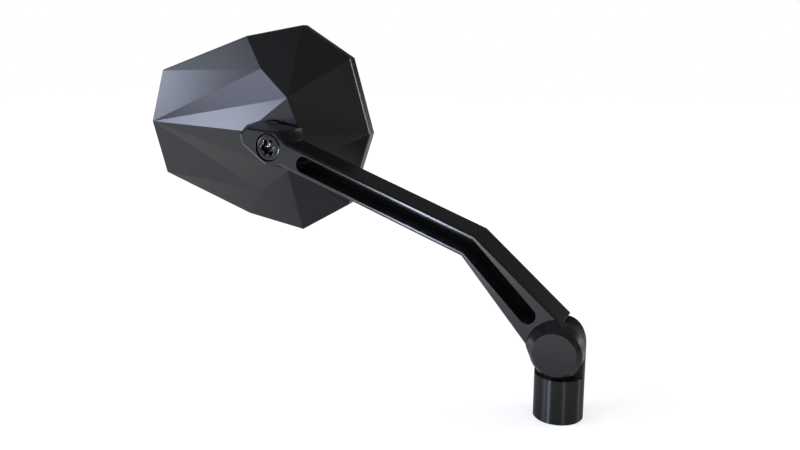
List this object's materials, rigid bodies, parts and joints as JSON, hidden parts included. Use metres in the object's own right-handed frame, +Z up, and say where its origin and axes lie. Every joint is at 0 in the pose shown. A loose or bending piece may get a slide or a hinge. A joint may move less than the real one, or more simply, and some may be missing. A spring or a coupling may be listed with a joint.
{
  "type": "motorcycle bar end mirror",
  "caption": "Bar end mirror for a motorcycle: faceted head on a ball joint, carried by a bent slotted arm that pivots on a round threaded stem.",
  "frame": {"origin": "centre of the stem's bottom face, at the mouth of its thread", "axes": "+Z up the stem, +Y towards the glass side, the arm leans towards -X"},
  "size_m": [0.2513, 0.0615, 0.1737],
  "materials": {
    "black_anodised": "fine bead-blasted black anodising, satin",
    "black_shell": "fine satin black coat over a cast facet shell",
    "black_steel": "blackened steel",
    "bright_steel": "bright polished steel",
    "zinc_steel": "zinc plated",
    "spring_steel": "tempered spring steel",
    "bronze": "sintered bronze",
    "bearing_plastic": "pale bearing plastic",
    "black_plastic": "moulded black plastic",
    "adhesive_foam": "thin foam adhesive",
    "rubber": "black rubber",
    "mirror": "silvered convex glass"
  },
  "bodies": {
    "stem": {"base_stem": "black_anodised", "pivot_bush": "bronze"},
    "arm": {"mirror_arm": "black_anodised", "pivot_friction_washer": "bearing_plastic", "pivot_washer": "zinc_steel", "pivot_disc_spring": "spring_steel", "pivot_screw": "black_steel", "head_screw": "bright_steel", "head_screw_washer": "zinc_steel", "ball_stud": "black_steel", "neck_dust_ring": "rubber"},
    "liner": {"ball_liner": "bearing_plastic"},
    "cup": {"ball_cup": "spring_steel"},
    "head": {"mirror_housing": "black_shell", "socket_retainer": "black_plastic", "retainer_screws": "zinc_steel", "retainer_disc_springs": "spring_steel", "glass_carrier": "black_plastic", "carrier_screws": "zinc_steel", "adhesive_pad": "adhesive_foam", "mirror_glass": "mirror", "rim_seal": "rubber"}
  },
  "joints": [
    {"name": "arm_pivot", "type": "hinge", "parent": "stem", "child": "arm", "pos_m": [0, 0, 0.0325], "axis": [0, 1, 0], "range_deg": [-20, 105]},
    {"name": "head_spin", "type": "hinge", "parent": "arm", "child": "liner", "pos_m": [-0.15133, 0.02655, 0.11913], "axis": [0, 1, 0], "range_deg": [-90, 90]},
    {"name": "head_tilt", "type": "hinge", "parent": "liner", "child": "cup", "pos_m": [-0.15133, 0.02655, 0.11913], "axis": [1, 0, 0], "range_deg": [-6, 6]},
    {"name": "head_pan", "type": "hinge", "parent": "cup", "child": "head", "pos_m": [-0.15133, 0.02655, 0.11913], "axis": [0, 0, 1], "range_deg": [-6, 6]}
  ]
}
